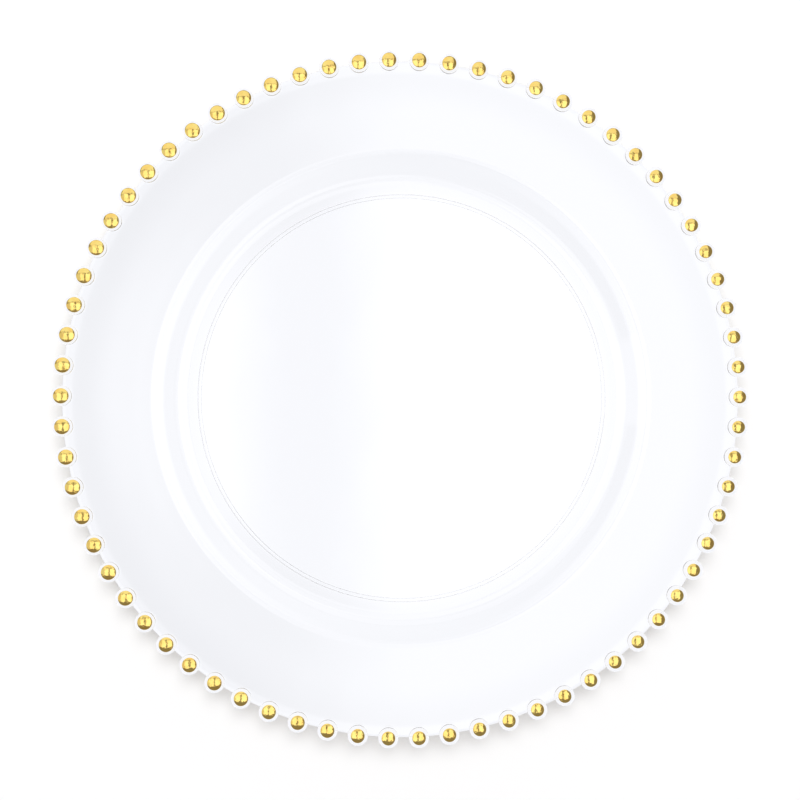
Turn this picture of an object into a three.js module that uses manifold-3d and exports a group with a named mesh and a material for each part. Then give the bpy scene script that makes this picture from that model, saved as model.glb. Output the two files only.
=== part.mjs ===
// A clear moulded charger plate with gold beads set in domed bosses round its edge.
// Lengths are millimetres, +Z is up, and the origin is the middle of the foot ring's underside.
import * as THREE from "three";
import { mergeVertices } from "three/addons/utils/BufferGeometryUtils.js";
import Module from "manifold-3d";

// Plate, with its corners measured where the straight lines of its section would meet
const plateThickness = 3;
const wellFloorRadius = 106.6;
const wallRun = 10.5; // how far out the well's sloping wall reaches
const wellDepth = 8;
const rimWidth = 43.2;
const rimRise = 2.8; // how far the rim climbs from the well to its edge
const rimTurn = 19.4; // out from the well to where the rim begins to lift more
const rimTurnRise = 0.8; // how far the rim has climbed there
const rimTurnReach = 11; // the lift is eased over this length on each side
const wellBend = 9.5; // radius between floor and wall, on the upper face
const shoulderBend = 8; // radius between wall and rim, on the upper face
const footHeight = 1.2;
const footWidth = 1.6;
const footInset = 8.5; // middle of the foot ring, in from the corner of floor and wall

// Domed bosses round the edge and the low gold beads set in them
const beadCount = 70;
const beadDiameter = 6.5;
const beadBody = 0.8; // straight side of a bead, below its domed face
const seatClearance = 0.2; // glue line round and under a bead
const bossWall = 1.25; // clear ring round a bead's seat
const bossSide = 1.1; // straight side of a boss above the rim's edge
const domeRise = 1.05; // from there to the top of the bead, one curve over boss and bead
const bossDepth = 2.7; // how far a boss reaches down from there
const bossLean = 3; // degrees that bosses and beads lean in towards the well

// Neighbouring beads share a solid where there are more beads than solids
const mostBeadSolids = 56;
const pinDiameter = 0.4; // thin pin between two beads that share a solid
const pinBelowTop = 0.32; // its middle, down from the top of the beads

// Facets
const bendSteps = 2;
const edgeSteps = 1;
const roundSides = 8; // of beads, bosses and seats, so that their facets line up
const turnSteps = 1;
const ringSteps = 1;
const beadSteps = 3;
const pinSides = 6;

// Heights and radii that follow
const floorTop = footHeight + plateThickness;
const mouthRadius = wellFloorRadius + wallRun;
const mouthTop = floorTop + wellDepth;
const rimRadius = mouthRadius + rimWidth; // also the circle that the beads stand on
const rimTop = mouthTop + rimRise;
const wallAngle = Math.atan2(wellDepth, wallRun);
const innerRimAngle = Math.atan2(rimTurnRise, rimTurn);
const outerRimAngle = Math.atan2(rimRise - rimTurnRise, rimWidth - rimTurn);
const edgeRound = 0.45 * plateThickness; // an almost full round
const footRadius = wellFloorRadius - footInset;

const beadRadius = beadDiameter / 2;
const beadPitch = (2 * Math.PI) / beadCount;
const seatRadius = beadRadius + seatClearance;
const bossRadius = seatRadius + bossWall;
const lean = THREE.MathUtils.degToRad(bossLean);
const beadTop = bossSide + domeRise; // heights on a boss are counted from the rim's edge
const domeRadius = (bossRadius ** 2 + domeRise ** 2) / (2 * domeRise);
const domeCentre = beadTop - domeRadius;
const beadEdge = domeHeight(beadRadius);
const beadFoot = beadEdge - beadBody;
const pinHeight = beadTop - pinBelowTop;

const wasm = await Module();
wasm.setup();

// A closed geometry as a solid that can be joined to others
function solidOf(geometry) {
  geometry.deleteAttribute("normal");
  geometry.deleteAttribute("uv");
  const welded = mergeVertices(geometry);
  const corners = welded.index.array;
  const triangles = [];
  for (let i = 0; i < corners.length; i += 3) {
    const [a, b, c] = corners.slice(i, i + 3);
    if (a !== b && b !== c && c !== a) triangles.push(a, b, c);
  }
  const vertProperties = new Float32Array(welded.attributes.position.array);
  const triVerts = new Uint32Array(triangles);
  return new wasm.Manifold(new wasm.Mesh({ numProp: 3, vertProperties, triVerts }));
}

function geometryOf(solid) {
  const { vertProperties, triVerts } = solid.getMesh();
  const geometry = new THREE.BufferGeometry();
  geometry.setAttribute("position", new THREE.BufferAttribute(vertProperties, 3));
  geometry.setIndex(new THREE.BufferAttribute(triVerts, 1));
  geometry.computeVertexNormals();
  return geometry;
}

// A section of radii and heights turned round the Z axis, with its first corner at an angle from +X
function turned(section, sides, startAngle = 0) {
  const lathe = new THREE.LatheGeometry(section, sides, Math.PI / 2 + startAngle);
  return lathe.rotateX(Math.PI / 2);
}

// The dome that boss and bead share, as a height at a distance from their axis
function domeHeight(distance) {
  return domeCentre + Math.sqrt(domeRadius ** 2 - distance ** 2);
}

// A stretch of that dome, as points of a section
function domePoints(from, to, steps) {
  const points = [];
  for (let step = 0; step <= steps; step++) {
    const distance = from + ((to - from) * step) / steps;
    points.push(new THREE.Vector2(distance, domeHeight(distance)));
  }
  return points;
}

// One corner of a section, rounded between its neighbours
function rounded(before, corner, after, radius, steps) {
  const toBefore = before.clone().sub(corner).normalize();
  const toAfter = after.clone().sub(corner).normalize();
  const halfAngle = Math.acos(toBefore.dot(toAfter)) / 2;
  const start = corner.clone().addScaledVector(toBefore, radius / Math.tan(halfAngle));
  const inward = toBefore.clone().add(toAfter).normalize();
  const centre = corner.clone().addScaledVector(inward, radius / Math.sin(halfAngle));
  const turn = Math.PI - 2 * halfAngle;
  const side = Math.sign(toAfter.cross(toBefore));
  const points = [];
  for (let step = 0; step <= steps; step++) {
    points.push(start.clone().rotateAround(centre, (side * turn * step) / steps));
  }
  return points;
}

// A slight turn of a section, eased on each side of its corner
function eased(before, corner, after, reach, steps) {
  const start = before.clone().sub(corner).setLength(reach).add(corner);
  const end = after.clone().sub(corner).setLength(reach).add(corner);
  return new THREE.QuadraticBezierCurve(start, corner, end).getPoints(steps);
}

// A corner of the plate's upper face carried square through to its lower face
function lowerCorner(corner, angleBefore, angleAfter) {
  const share = plateThickness / (1 + Math.cos(angleAfter - angleBefore));
  const across = Math.sin(angleBefore) + Math.sin(angleAfter);
  const down = Math.cos(angleBefore) + Math.cos(angleAfter);
  return new THREE.Vector2(corner.x + share * across, corner.y - share * down);
}

function plateSection() {
  const floorMiddle = new THREE.Vector2(0, floorTop);
  const floorCorner = new THREE.Vector2(wellFloorRadius, floorTop);
  const shoulder = new THREE.Vector2(mouthRadius, mouthTop);
  const turn = new THREE.Vector2(mouthRadius + rimTurn, mouthTop + rimTurnRise);
  const edge = new THREE.Vector2(rimRadius, rimTop);
  const lowerMiddle = new THREE.Vector2(0, footHeight);
  const lowerFloorCorner = lowerCorner(floorCorner, 0, wallAngle);
  const lowerShoulder = lowerCorner(shoulder, wallAngle, innerRimAngle);
  const lowerTurn = lowerCorner(turn, innerRimAngle, outerRimAngle);
  const lowerEdge = new THREE.Vector2(rimRadius, rimTop - plateThickness / Math.cos(outerRimAngle));
  const lowerShoulderBend = Math.max(shoulderBend - plateThickness, 0);
  return [
    lowerMiddle,
    new THREE.Vector2(footRadius - footWidth / 2, footHeight),
    new THREE.Vector2(footRadius - footWidth / 2, 0),
    new THREE.Vector2(footRadius + footWidth / 2, 0),
    new THREE.Vector2(footRadius + footWidth / 2, footHeight),
    ...rounded(lowerMiddle, lowerFloorCorner, lowerShoulder, wellBend + plateThickness, bendSteps),
    ...rounded(lowerFloorCorner, lowerShoulder, lowerTurn, lowerShoulderBend, bendSteps),
    ...eased(lowerShoulder, lowerTurn, lowerEdge, rimTurnReach, turnSteps),
    ...rounded(lowerTurn, lowerEdge, edge, edgeRound, edgeSteps),
    ...rounded(lowerEdge, edge, turn, edgeRound, edgeSteps),
    ...eased(edge, turn, shoulder, rimTurnReach, turnSteps),
    ...rounded(turn, shoulder, floorCorner, shoulderBend, bendSteps),
    ...rounded(shoulder, floorCorner, floorMiddle, wellBend, bendSteps),
    floorMiddle,
  ];
}

// A short drum with a domed top, still without the bead's seat
function bossSection() {
  return [
    new THREE.Vector2(0, -bossDepth),
    new THREE.Vector2(bossRadius, -bossDepth),
    ...domePoints(bossRadius, seatRadius, ringSteps),
    new THREE.Vector2(0, domeHeight(seatRadius)),
  ];
}

// The round hollow for a bead, up past the boss
function seatSection() {
  const floor = beadFoot - seatClearance;
  return [
    new THREE.Vector2(0, floor),
    new THREE.Vector2(seatRadius, floor),
    new THREE.Vector2(seatRadius, beadTop),
    new THREE.Vector2(0, beadTop),
  ];
}

function beadSection() {
  return [
    new THREE.Vector2(0, beadFoot),
    new THREE.Vector2(beadRadius, beadFoot),
    ...domePoints(beadRadius, 0, beadSteps),
  ];
}

// Sets what is turned about a boss's axis on the rim's edge, leaning, at one bead's place
function atBead(geometry, number) {
  geometry.rotateY(-lean);
  return geometry.translate(rimRadius, 0, rimTop).rotateZ(number * beadPitch);
}

function plateGeometry() {
  let plate = solidOf(turned(plateSection(), beadCount, beadPitch / 2));
  for (let number = 0; number < beadCount; number++) {
    plate = plate.add(solidOf(atBead(turned(bossSection(), roundSides), number)));
    plate = plate.subtract(solidOf(atBead(turned(seatSection(), roundSides), number)));
  }
  return geometryOf(plate);
}

function beadGeometry(number) {
  return atBead(turned(beadSection(), roundSides), number);
}

// Two neighbouring beads on a thin pin that clears the bosses
function beadPairGeometry(number) {
  const pinRadius = rimRadius - pinHeight * Math.sin(lean);
  const pinLength = 2 * pinRadius * Math.sin(beadPitch / 2);
  const pin = new THREE.CylinderGeometry(pinDiameter / 2, pinDiameter / 2, pinLength, pinSides);
  const pinMiddle = rimTop + pinHeight * Math.cos(lean);
  pin.translate(pinRadius * Math.cos(beadPitch / 2), 0, pinMiddle);
  pin.rotateZ((number + 0.5) * beadPitch);
  const first = solidOf(beadGeometry(number));
  const second = solidOf(beadGeometry(number + 1));
  return geometryOf(first.add(second).add(solidOf(pin)));
}

function clearAcrylic() {
  return new THREE.MeshStandardMaterial({
    color: "#f3f6fc",
    roughness: 0.05,
    metalness: 0,
    transparent: true,
    opacity: 0.35,
  });
}

function goldPlate() {
  return new THREE.MeshStandardMaterial({ color: "#dfa63c", roughness: 0.12, metalness: 1 });
}

const beadedPlate = new THREE.Group();

function addPiece(name, geometry, material) {
  const piece = new THREE.Mesh(geometry, material);
  piece.name = name;
  beadedPlate.add(piece);
}

addPiece("plate_body", plateGeometry(), clearAcrylic());

const pairCount = Math.max(beadCount - mostBeadSolids, 0);
const pairStarts = new Set();
for (let pair = 0; pair < pairCount; pair++) {
  pairStarts.add(Math.floor((pair * beadCount) / pairCount));
}
const label = (number) => String(number + 1).padStart(2, "0");
for (let number = 0; number < beadCount; number++) {
  if (pairStarts.has(number)) {
    addPiece(`beads_${label(number)}_${label(number + 1)}`, beadPairGeometry(number), goldPlate());
    number++;
  } else {
    addPiece(`bead_${label(number)}`, beadGeometry(number), goldPlate());
  }
}

export default beadedPlate;
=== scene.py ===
import bpy
import math
from mathutils import Matrix, Vector


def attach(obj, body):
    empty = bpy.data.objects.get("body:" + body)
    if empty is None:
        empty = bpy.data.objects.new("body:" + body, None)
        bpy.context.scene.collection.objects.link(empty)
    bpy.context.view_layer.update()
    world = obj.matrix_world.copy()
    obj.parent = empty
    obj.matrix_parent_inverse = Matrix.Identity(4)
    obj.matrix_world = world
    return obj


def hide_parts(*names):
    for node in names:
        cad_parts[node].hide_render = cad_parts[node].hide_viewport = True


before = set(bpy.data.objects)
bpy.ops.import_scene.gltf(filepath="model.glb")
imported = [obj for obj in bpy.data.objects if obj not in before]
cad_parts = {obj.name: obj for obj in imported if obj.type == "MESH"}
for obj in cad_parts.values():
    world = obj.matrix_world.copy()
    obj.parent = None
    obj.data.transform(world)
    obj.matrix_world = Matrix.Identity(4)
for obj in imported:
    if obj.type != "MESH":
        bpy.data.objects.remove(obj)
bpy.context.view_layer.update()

beadCount = 70
beadPitch = 2 * math.pi / beadCount
fullTurn = 2 * math.pi
meshLimits = {
    "weld": 2e-6,  # corners nearer than this become one
    "corner": 1e-6,  # how near a picked corner lies to its place
    "seam": 1e-5,  # how near a face lies to the seam
    "upright": 0.01,  # how much an upright face may look up or down
}
print("frame loaded:", len(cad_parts), "nodes")


# edit mode helpers
def editMode():
    bpy.ops.object.mode_set(mode="EDIT")


def objectMode():
    bpy.ops.object.mode_set(mode="OBJECT")


def selectOnly(*objects):
    bpy.ops.object.select_all(action="DESELECT")
    for one in objects:
        one.select_set(True)
    bpy.context.view_layer.objects.active = objects[0]


def pickVertices(piece, test):
    editMode()
    bpy.ops.mesh.select_mode(type="VERT")
    bpy.ops.mesh.select_all(action="DESELECT")
    objectMode()
    for vertex in piece.data.vertices:
        vertex.select = test(vertex.co)
    editMode()


def pickFaces(piece, test):
    editMode()
    bpy.ops.mesh.select_mode(type="FACE")
    bpy.ops.mesh.select_all(action="DESELECT")
    objectMode()
    for face in piece.data.polygons:
        face.select = test(face)
    editMode()


# a line of corners drawn out from one vertex, corner by corner
def drawLine(name, corners):
    bpy.ops.object.select_all(action="DESELECT")
    bpy.ops.mesh.primitive_plane_add(size=0.001)
    piece = bpy.context.object
    piece.name = name
    piece.data.name = name
    editMode()
    bpy.ops.mesh.select_mode(type="VERT")
    bpy.ops.mesh.select_all(action="SELECT")
    bpy.ops.mesh.merge(type="CENTER")
    bpy.ops.transform.translate(value=corners[0])
    for before, after in zip(corners, corners[1:]):
        bpy.ops.mesh.extrude_vertices_move(TRANSFORM_OT_translate={"value": after - before})
    objectMode()
    return piece


# rounds one corner of a drawn line, reach is how far the round runs along each side
def roundCorner(piece, corner, reach, segments):
    pickVertices(piece, lambda co: (co - corner).length < meshLimits["corner"])
    bpy.ops.mesh.bevel(offset=reach, segments=segments, affect="VERTICES")
    objectMode()


def closeSurface(piece):
    editMode()
    bpy.ops.mesh.select_all(action="SELECT")
    bpy.ops.mesh.remove_doubles(threshold=meshLimits["weld"])
    bpy.ops.mesh.normals_make_consistent(inside=False)
    objectMode()


def cutOrJoin(piece, tool, operation):
    selectOnly(piece)
    step = piece.modifiers.new(operation.lower(), "BOOLEAN")
    step.operation = operation
    step.solver = "EXACT"
    step.object = tool
    bpy.ops.object.modifier_apply(modifier=step.name)
    bpy.data.objects.remove(tool, do_unlink=True)


def smoothShade(piece, angle):
    selectOnly(piece)
    bpy.ops.object.shade_smooth_by_angle(angle=math.radians(angle))


plateSizes = {
    "thickness": 0.003,
    "footHeight": 0.0012,
    "footWidth": 0.0016,
    "footRadius": 0.0981,
    "footRound": 0.0003,
    "floorCorner": 0.1066,  # where floor and wall would meet without the bend
    "mouth": 0.1171,  # where wall and rim would meet
    "depth": 0.008,
    "rimTurn": 0.1365,  # the rim begins to lift more here
    "rimTurnRise": 0.0008,
    "rimTurnReach": 0.011,
    "edge": 0.1603,  # the bosses stand on this circle
    "edgeRound": 0.00145,
    "rimRise": 0.0028,
    "wellBend": 0.0095,
    "shoulderBend": 0.008,
    "seam": 0.151,  # the turned disc ends here and the bossed edge starts
    "columns": 6,  # facets round the plate for each bead
    "bendFacets": 12,
    "rimTurnFacets": 8,
    "edgeFacets": 10,
    "footFacets": 3,
    "smoothBelow": 32,  # degrees between faces
}


def sectionPoint(radius, height, angle=0.0):
    return Vector((radius * math.cos(angle), radius * math.sin(angle), height))


# the lower face runs parallel to the upper one
def lowerCorner(corner, slopeBefore, slopeAfter):
    share = plateSizes["thickness"] / (1 + math.cos(slopeAfter - slopeBefore))
    across = math.sin(slopeBefore) + math.sin(slopeAfter)
    down = math.cos(slopeBefore) + math.cos(slopeAfter)
    return corner[0] + share * across, corner[1] - share * down


def slope(inner, outer):
    return math.atan2(outer[1] - inner[1], outer[0] - inner[0])


def plateCorners():
    s = plateSizes
    floorTop = s["footHeight"] + s["thickness"]
    upper = {
        "middle": (0.0, floorTop),
        "floorCorner": (s["floorCorner"], floorTop),
        "shoulder": (s["mouth"], floorTop + s["depth"]),
        "rimTurn": (s["rimTurn"], floorTop + s["depth"] + s["rimTurnRise"]),
        "edge": (s["edge"], floorTop + s["depth"] + s["rimRise"]),
    }
    wallSlope = slope(upper["floorCorner"], upper["shoulder"])
    innerSlope = slope(upper["shoulder"], upper["rimTurn"])
    outerSlope = slope(upper["rimTurn"], upper["edge"])
    seamRise = (s["seam"] - s["rimTurn"]) * math.tan(outerSlope)
    upper["seam"] = (s["seam"], upper["rimTurn"][1] + seamRise)
    drop = s["thickness"] / math.cos(outerSlope)
    lower = {
        "middle": (0.0, s["footHeight"]),
        "floorCorner": lowerCorner(upper["floorCorner"], 0, wallSlope),
        "shoulder": lowerCorner(upper["shoulder"], wallSlope, innerSlope),
        "rimTurn": lowerCorner(upper["rimTurn"], innerSlope, outerSlope),
        "seam": (s["seam"], upper["seam"][1] - drop),
        "edge": (s["edge"], upper["edge"][1] - drop),
    }
    turns = {"floorCorner": wallSlope, "shoulder": wallSlope - innerSlope}
    return upper, lower, turns


def turnDisc(upper, lower, turns):
    s = plateSizes
    footIn = s["footRadius"] - s["footWidth"] / 2
    footOut = s["footRadius"] + s["footWidth"] / 2
    names = ("middle", "floorCorner", "shoulder", "rimTurn", "seam")
    upperLine = [sectionPoint(*upper[name]) for name in names]
    footLine = [
        sectionPoint(footIn, s["footHeight"]),
        sectionPoint(footIn, 0),
        sectionPoint(footOut, 0),
        sectionPoint(footOut, s["footHeight"]),
    ]
    lowerLine = [sectionPoint(*lower[name]) for name in names]
    lowerLine[1:1] = footLine
    upperFace = drawLine("upper_face", upperLine)
    lowerFace = drawLine("lower_face", lowerLine)
    bends = {
        "floorCorner": (s["wellBend"], s["wellBend"] + s["thickness"]),
        "shoulder": (s["shoulderBend"], s["shoulderBend"] - s["thickness"]),
    }
    for name, (upperBend, lowerBend) in bends.items():
        halfTurn = math.tan(turns[name] / 2)
        roundCorner(upperFace, sectionPoint(*upper[name]), upperBend * halfTurn, s["bendFacets"])
        roundCorner(lowerFace, sectionPoint(*lower[name]), lowerBend * halfTurn, s["bendFacets"])
    for face, corners in ((upperFace, upper), (lowerFace, lower)):
        turn = sectionPoint(*corners["rimTurn"])
        roundCorner(face, turn, s["rimTurnReach"], s["rimTurnFacets"])
    for corner in footLine:
        roundCorner(lowerFace, corner, s["footRound"], s["footFacets"])
    selectOnly(upperFace, lowerFace)
    bpy.ops.object.join()
    steps = beadCount * s["columns"]
    # the first column starts half a pitch from a bead, as the bossed edge does
    selectOnly(upperFace)
    editMode()
    bpy.ops.mesh.select_all(action="SELECT")
    bpy.ops.transform.rotate(value=beadPitch / 2, orient_axis="Z", center_override=(0, 0, 0))
    bpy.ops.mesh.spin(steps=steps, angle=fullTurn, center=(0, 0, 0), axis=(0, 0, 1))
    objectMode()
    return upperFace


bossSizes = {
    "radius": 0.0047,
    "side": 0.0011,  # straight side above the rim's edge
    "domeRise": 0.00105,  # from there to the top
    "depth": 0.0027,  # down from the rim's edge
    "lean": math.radians(3),  # in towards the well
    "lipRound": 0.0002,
    "lipFacets": 3,
    "sides": 40,
    "rings": 10,  # facets from the middle to the lip
}
bossTop = bossSizes["side"] + bossSizes["domeRise"]
domeRadius = (bossSizes["radius"] ** 2 / bossSizes["domeRise"] + bossSizes["domeRise"]) / 2


# heights on a boss are counted from the rim's edge
def domeHeight(distance):
    return bossTop - domeRadius + math.sqrt(domeRadius**2 - distance**2)


# leans what was made upright on the rim's edge
def tilt(piece, foot):
    selectOnly(piece)
    editMode()
    bpy.ops.mesh.select_all(action="SELECT")
    bpy.ops.transform.rotate(value=bossSizes["lean"], orient_axis="Y", center_override=foot)
    objectMode()


# a round piece under the dome's face, turned upright and then leaned
def turnDomed(foot, radius, bottom, lift, lipRound):
    steps = bossSizes["rings"]
    dome = [radius * (1 - step / steps) for step in range(steps + 1)]
    corners = [foot + Vector((0, 0, bottom)), foot + Vector((radius, 0, bottom))]
    corners += [foot + Vector((away, 0, domeHeight(away) + lift)) for away in dome]
    piece = drawLine("domed", corners)
    roundCorner(piece, corners[2], lipRound, bossSizes["lipFacets"])
    editMode()
    bpy.ops.mesh.select_all(action="SELECT")
    bpy.ops.mesh.spin(steps=bossSizes["sides"], angle=fullTurn, center=foot, axis=(0, 0, 1))
    objectMode()
    closeSurface(piece)
    tilt(piece, foot)
    return piece


# one bead's share of the rim's edge, with its boss, as a closed wedge
def bossedWedge(upper, lower, foot):
    s = plateSizes
    angle = beadPitch / 2
    order = (upper["seam"], upper["edge"], lower["edge"], lower["seam"])
    corners = [sectionPoint(*corner, angle) for corner in order]
    wedge = drawLine("plate", corners)
    editMode()
    bpy.ops.mesh.select_all(action="SELECT")
    bpy.ops.mesh.edge_face_add()
    objectMode()
    roundCorner(wedge, corners[1], s["edgeRound"], s["edgeFacets"])
    editMode()
    bpy.ops.mesh.select_all(action="SELECT")
    bpy.ops.mesh.spin(steps=s["columns"], angle=beadPitch, center=(0, 0, 0), axis=(0, 0, 1))
    objectMode()
    closeSurface(wedge)
    boss = bossSizes
    drum = turnDomed(foot, boss["radius"], -boss["depth"], 0, boss["lipRound"])
    cutOrJoin(wedge, drum, "UNION")
    return wedge


# the hollow that one bead sits in
def cutSeat(wedge, foot, radius):
    height = beadSizes["cutter"]
    floor = domeHeight(radius) - beadSizes["body"]
    bpy.ops.object.select_all(action="DESELECT")
    bpy.ops.mesh.primitive_cylinder_add(
        vertices=bossSizes["sides"],
        radius=radius - beadSizes["bite"],
        depth=height,
        location=foot + Vector((0, 0, floor + beadSizes["bite"] + height / 2)),
    )
    tool = bpy.context.object
    bpy.ops.object.transform_apply(location=True, rotation=True, scale=True)
    tilt(tool, foot)
    cutOrJoin(wedge, tool, "DIFFERENCE")


# opens the wedge's three sides that meet its neighbours
def openSides(wedge):
    seam = plateSizes["seam"]

    def onSeam(face):
        radius = math.hypot(face.center.x, face.center.y)
        angle = abs(math.atan2(face.center.y, face.center.x))
        upright = abs(face.normal.z) < meshLimits["upright"]
        atSide = angle > beadPitch / 2 - meshLimits["corner"]
        return upright and (atSide or radius < seam + meshLimits["seam"])

    selectOnly(wedge)
    pickFaces(wedge, onSeam)
    bpy.ops.mesh.delete(type="FACE")
    objectMode()


# copies of the wedge round the plate, each with its own bead's seat
def ringOfWedges(wedge, foot):
    ring = []
    for number in range(beadCount):
        part = wedge.copy()
        part.data = wedge.data.copy()
        bpy.context.collection.objects.link(part)
        cutSeat(part, foot, beadRadius(number))
        openSides(part)
        part.data.transform(Matrix.Rotation(number * beadPitch, 4, "Z"))
        ring.append(part)
    bpy.data.objects.remove(wedge, do_unlink=True)
    return ring


def makePlate():
    upper, lower, turns = plateCorners()
    foot = sectionPoint(*upper["edge"])
    wedge = bossedWedge(upper, lower, foot)
    ring = ringOfWedges(wedge, foot)
    disc = turnDisc(upper, lower, turns)
    selectOnly(disc, *ring)
    bpy.ops.object.join()
    disc.name = "clear_plate"
    disc.data.name = "clear_plate"
    closeSurface(disc)
    smoothShade(disc, plateSizes["smoothBelow"])
    flatten = disc.modifiers.new("flat faces", "WEIGHTED_NORMAL")
    flatten.keep_sharp = True
    bpy.ops.object.modifier_apply(modifier=flatten.name)
    print("plate:", len(disc.data.polygons), "faces")
    return disc, foot


beadSizes = {
    "radius": 0.0033,  # on average
    "swing": 0.00029,  # the gold reaches farther out on one side of the plate
    "widest": math.radians(158),
    "body": 0.0003,  # straight side below the domed face
    "bite": 0.00002,  # each bead beds this far into its boss, and stands as far proud
    "lipRound": 0.00006,
    "cutter": 0.003,  # height of the tool that cuts the seats
    "smoothBelow": 40,  # degrees between faces
}


def beadRadius(number):
    away = math.cos(number * beadPitch - beadSizes["widest"])
    return beadSizes["radius"] + beadSizes["swing"] * away


def turnBead(foot, radius):
    s = beadSizes
    bottom = domeHeight(radius) - s["body"]
    bead = turnDomed(foot, radius, bottom, s["bite"], s["lipRound"])
    smoothShade(bead, s["smoothBelow"])
    return bead


def nodeOf(number):
    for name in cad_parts:
        if f"{number:02d}" in name.split("_")[1:]:
            return name


def makeBeads(foot, finish):
    for number in range(beadCount):
        bead = turnBead(foot, beadRadius(number))
        bead.data.transform(Matrix.Rotation(number * beadPitch, 4, "Z"))
        bead.name = f"gold_bead_{number + 1:02d}"
        bead.data.name = bead.name
        bead.data.materials.append(finish)
        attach(bead, "root")
        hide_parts(nodeOf(number + 1))
    print("beads:", beadCount)


# node helpers for materials and world
def wired(tree, kind, values, **settings):
    node = tree.nodes.new(kind)
    for name, value in settings.items():
        setattr(node, name, value)
    for place, value in values.items():
        if isinstance(value, bpy.types.NodeSocket):
            tree.links.new(value, node.inputs[place])
        else:
            node.inputs[place].default_value = value
    return node.outputs[0]


def calculated(tree, operation, first, second):
    return wired(tree, "ShaderNodeMath", {0: first, 1: second}, operation=operation)


def noise(tree, scale, detail):
    place = tree.nodes.new("ShaderNodeTexCoord").outputs["Object"]
    spots = {"Vector": place, "Scale": scale, "Detail": detail}
    return wired(tree, "ShaderNodeTexNoise", spots)


noiseRange = (0.3, 0.7)  # where most of a noise lies


# spreads a noise over a range of values
def spread(tree, value, low, high):
    spots = {"Value": value, "To Min": low, "To Max": high}
    spots["From Min"], spots["From Max"] = noiseRange
    return wired(tree, "ShaderNodeMapRange", spots)


def bump(tree, height, distance):
    return wired(tree, "ShaderNodeBump", {"Height": height, "Distance": distance, "Strength": 1})


# 1 for what shows in a bead or through the plate
def seenThrough(tree):
    path = tree.nodes.new("ShaderNodeLightPath").outputs
    return calculated(tree, "MAXIMUM", path["Is Glossy Ray"], path["Is Transmission Ray"])


def newMaterial(name):
    material = bpy.data.materials.new(name)
    material.use_nodes = True
    tree = material.node_tree
    return material, tree, tree.nodes["Principled BSDF"]


# polished, with the faint waves of a moulding and fine wear
acrylicFinish = {
    "bend": 1.49,  # index of refraction
    "wearScale": 140,
    "wear": (0.0, 0.02),  # roughness
    "waveScale": 28,
    "wave": 0.0001,
    "tint": (0.6, 0.72, 1, 1),
    "tintDepth": 6,
}


def clearAcrylic():
    a = acrylicFinish
    material, tree, shader = newMaterial("clear_acrylic")
    shader.inputs["Base Color"].default_value = (1, 1, 1, 1)
    shader.inputs["IOR"].default_value = a["bend"]
    shader.inputs["Transmission Weight"].default_value = 1
    wear = spread(tree, noise(tree, a["wearScale"], 3), *a["wear"])
    tree.links.new(wear, shader.inputs["Roughness"])
    waves = bump(tree, noise(tree, a["waveScale"], 1), a["wave"])
    tree.links.new(waves, shader.inputs["Normal"])
    absorption = tree.nodes.new("ShaderNodeVolumeAbsorption")
    absorption.inputs["Color"].default_value = a["tint"]
    absorption.inputs["Density"].default_value = a["tintDepth"]
    tree.links.new(absorption.outputs["Volume"], tree.nodes["Material Output"].inputs["Volume"])
    return material


# bright plating, slightly dented and uneven in tone and gloss
goldFinish = {
    "toneScale": 300,
    "deep": (0.35, (0.97, 0.68, 0.19, 1)),  # place on the ramp and colour
    "light": (0.65, (1.0, 0.8, 0.25, 1)),
    "glossScale": 1500,
    "gloss": (0.04, 0.1),  # roughness
    "dentScale": 800,
    "dent": 0.00008,
}


def goldPlating():
    g = goldFinish
    material, tree, shader = newMaterial("gold_plating")
    tone = tree.nodes.new("ShaderNodeValToRGB")
    for element, (place, colour) in zip(tone.color_ramp.elements, (g["deep"], g["light"])):
        element.position = place
        element.color = colour
    tree.links.new(noise(tree, g["toneScale"], 2), tone.inputs["Fac"])
    tree.links.new(tone.outputs["Color"], shader.inputs["Base Color"])
    shader.inputs["Metallic"].default_value = 1
    gloss = spread(tree, noise(tree, g["glossScale"], 3), *g["gloss"])
    tree.links.new(gloss, shader.inputs["Roughness"])
    dents = bump(tree, noise(tree, g["dentScale"], 1), g["dent"])
    tree.links.new(dents, shader.inputs["Normal"])
    return material


# how white the floor shows through the plate, with painted shade towards the rim and painted rings
# of light under the bends, distances are from the plate's middle
paintedUnderPlate = {
    "tint": (0.953, 0.962, 0.996, 1),
    "well": 1.052,
    # painted shade: steps that darken the floor seen through the plate, from the foot ring out to
    # the rim's edge
    "paintedShade": (
        (0.096, 0.103, 0.04),
        (0.112, 0.124, 0.008),
        (0.139, 0.157, 0.035),
        (0.158, 0.1605, -0.05),  # the painted shade lifts again, white under the bosses
    ),
    "rings": ((0.1048, 0.1102, 0.06), (0.1165, 0.1215, 0.1)),  # painted rings of light where the two bends would gather it
    "paintedRingFade": 0.0012,
}


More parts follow.
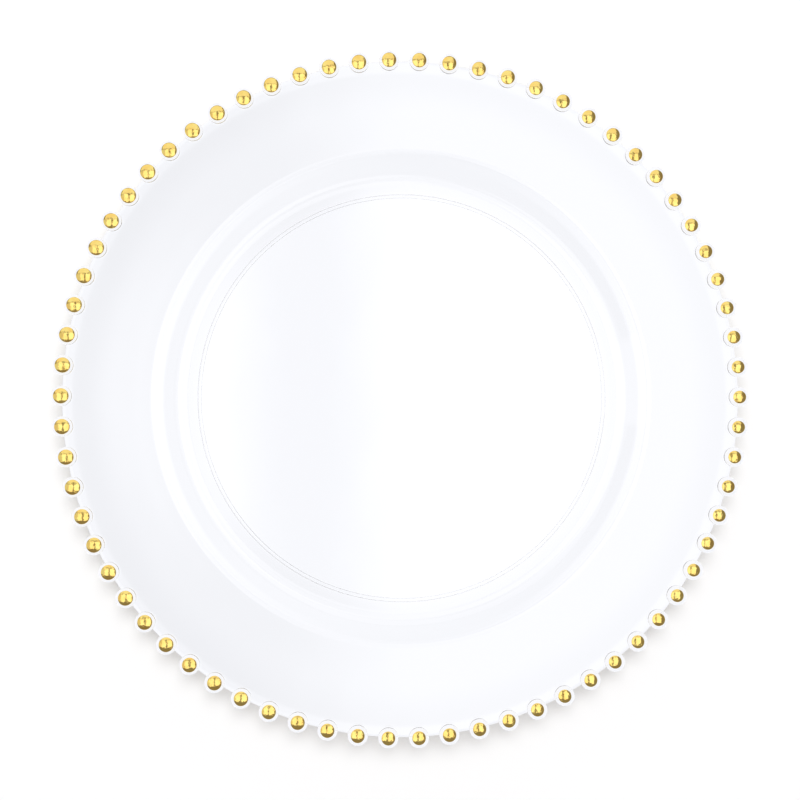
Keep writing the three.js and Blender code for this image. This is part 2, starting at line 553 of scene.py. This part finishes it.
def paintedFloorGlow(tree):
    place = tree.nodes.new("ShaderNodeTexCoord").outputs["Object"]
    split = tree.nodes.new("ShaderNodeSeparateXYZ")
    tree.links.new(place, split.inputs["Vector"])
    measure = tree.nodes.new("ShaderNodeVectorMath")
    measure.operation = "LENGTH"
    tree.links.new(place, measure.inputs[0])
    away = measure.outputs["Value"]
    glow = paintedUnderPlate["well"]
    # painted shade: the glow steps down towards the rim's edge
    for start, end, drop in paintedUnderPlate["paintedShade"]:
        step = softStep(tree, away, start, end)
        glow = calculated(tree, "SUBTRACT", glow, calculated(tree, "MULTIPLY", step, drop))
    # painted rings of light, brighter left and right where the soft boxes stand
    sideways = calculated(tree, "DIVIDE", split.outputs["X"], away)
    share = calculated(tree, "MULTIPLY", sideways, sideways)
    for inner, outer, lift in paintedUnderPlate["rings"]:
        ring = softBand(tree, away, inner, outer, paintedUnderPlate["paintedRingFade"])
        ring = calculated(tree, "MULTIPLY", calculated(tree, "MULTIPLY", ring, share), lift)
        glow = calculated(tree, "ADD", glow, ring)
    return wired(tree, "ShaderNodeEmission", {"Color": paintedUnderPlate["tint"], "Strength": glow})


floorSizes = {
    "side": 8,
    "drop": 0.0003,  # just clear of the foot ring
    "paper": (0.95, 0.965, 0.973, 1),
}


# white where the plate or a bead shows it, with painted shade and painted rings of light under the
# plate, and real shadows where the camera sees it
def floorPaper():
    material, tree, shader = newMaterial("floor_paper")
    shader.inputs["Base Color"].default_value = floorSizes["paper"]
    shader.inputs["Roughness"].default_value = 1
    shader.inputs["Specular IOR Level"].default_value = 0
    spots = {0: seenThrough(tree), 1: shader.outputs["BSDF"], 2: paintedFloorGlow(tree)}
    surface = wired(tree, "ShaderNodeMixShader", spots)
    tree.links.new(surface, tree.nodes["Material Output"].inputs["Surface"])
    material.cycles.emission_sampling = "NONE"
    return material


cameraView = {
    "lens": 47.25,
    "place": (-0.01904, -0.01402, 0.51123),
    "turn": (1.425, -1.988, 0.048),  # degrees
    "sensor": 36,
    "nearest": 0.01,
}


def makeCamera():
    bpy.ops.object.camera_add(location=cameraView["place"])
    camera = bpy.context.object
    camera.rotation_euler = [math.radians(angle) for angle in cameraView["turn"]]
    camera.data.lens = cameraView["lens"]
    camera.data.sensor_width = cameraView["sensor"]
    camera.data.clip_start = cameraView["nearest"]
    bpy.context.scene.camera = camera


def makeStage():
    bpy.ops.object.select_all(action="DESELECT")
    bpy.ops.mesh.primitive_plane_add(size=floorSizes["side"], location=(0, 0, -floorSizes["drop"]))
    floor = bpy.context.object
    floor.name = "floor"
    floor.data.materials.append(floorPaper())


# soft boxes far overhead, their sides are tangents of the angle from straight up
skySizes = {
    "sky": 0.26,
    "skyTint": (1, 0.91, 0.89, 1),  # a dim warm room
    "left": ((-0.505, -0.11), (-0.4, 0.271), 1.03),
    "right": ((0.002, 0.442), (-0.4, 0.271), 1.07),
    "farLeft": ((-20, -0.505), (-0.4, 0.271), 0.507),
    "back": ((-0.856, 0.473), (0.327, 1.25), 0.725),
    "fade": 0.045,  # their sides are soft by this much
    "low": 1.0,  # glow near the horizon
    "lowThrough": 0.6,  # share of that glow that shows through the plate
    "lowFrom": 0.55,
    "lowTo": 0.35,
    "flattest": 0.02,  # least height of a direction that is divided by
}


# rises softly from 0 to 1 between two values
def softStep(tree, value, start, end):
    spots = {"Value": value, "From Min": start, "From Max": end}
    return wired(tree, "ShaderNodeMapRange", spots, interpolation_type="SMOOTHSTEP")


def softBand(tree, value, low, high, fade):
    rise = softStep(tree, value, low - fade, low + fade)
    past = softStep(tree, value, high - fade, high + fade)
    return calculated(tree, "SUBTRACT", rise, past)


def makeWorld():
    world = bpy.data.worlds.new("studio")
    bpy.context.scene.world = world
    world.use_nodes = True
    tree = world.node_tree
    place = tree.nodes.new("ShaderNodeTexCoord").outputs["Generated"]
    split = tree.nodes.new("ShaderNodeSeparateXYZ")
    tree.links.new(place, split.inputs["Vector"])
    height = calculated(tree, "MAXIMUM", split.outputs["Z"], skySizes["flattest"])
    across = calculated(tree, "DIVIDE", split.outputs["X"], height)
    along = calculated(tree, "DIVIDE", split.outputs["Y"], height)
    low = softStep(tree, split.outputs["Z"], skySizes["lowFrom"], skySizes["lowTo"])
    low = calculated(tree, "MULTIPLY", low, skySizes["low"])
    through = tree.nodes.new("ShaderNodeLightPath").outputs["Is Transmission Ray"]
    hidden = calculated(tree, "MULTIPLY", through, 1 - skySizes["lowThrough"])
    low = calculated(tree, "MULTIPLY", low, calculated(tree, "SUBTRACT", 1, hidden))
    total = low
    for name in ("left", "right", "farLeft", "back"):
        sideX, sideY, glow = skySizes[name]
        bandX = softBand(tree, across, *sideX, skySizes["fade"])
        bandY = softBand(tree, along, *sideY, skySizes["fade"])
        box = calculated(tree, "MULTIPLY", bandX, bandY)
        box = calculated(tree, "MULTIPLY", box, glow)
        total = calculated(tree, "ADD", total, box)
    lit = wired(tree, "ShaderNodeBackground", {"Color": (1, 1, 1, 1), "Strength": total})
    dim = {"Color": skySizes["skyTint"], "Strength": skySizes["sky"]}
    room = wired(tree, "ShaderNodeBackground", dim)
    both = wired(tree, "ShaderNodeAddShader", {0: lit, 1: room})
    tree.links.new(both, tree.nodes["World Output"].inputs["Surface"])


# a wide strip behind the plate gives the floor its soft shadows
stripSizes = {
    "place": (0, 1.4, 3.0),
    "width": 2.2,
    "depth": 1.4,
    "glow": 4.75,  # where white paper is 1
}


def makeStrip():
    s = stripSizes
    bpy.ops.object.light_add(type="AREA", location=s["place"])
    strip = bpy.context.object
    strip.name = "back_strip"
    strip.rotation_euler = (-math.atan2(s["place"][1], s["place"][2]), 0, 0)
    strip.data.shape = "RECTANGLE"
    strip.data.size = s["width"]
    strip.data.size_y = s["depth"]
    strip.data.energy = s["glow"] * math.pi * s["width"] * s["depth"]
    strip.visible_camera = False
    strip.visible_glossy = False
    strip.visible_transmission = False


# light runs far inside a clear rim
bounces = {"all": 24, "glossy": 16, "through": 16}


def makeLight():
    makeWorld()
    makeStrip()
    scene = bpy.context.scene
    scene.view_settings.view_transform = "Standard"
    scene.cycles.max_bounces = bounces["all"]
    scene.cycles.glossy_bounces = bounces["glossy"]
    scene.cycles.transmission_bounces = bounces["through"]


makeCamera()
makeStage()
makeLight()
plate, bossFoot = makePlate()
plate.data.materials.append(clearAcrylic())
plate.visible_diffuse = False  # clear, so it keeps little light from the floor
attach(plate, "root")
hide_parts("plate_body")
makeBeads(bossFoot, goldPlating())
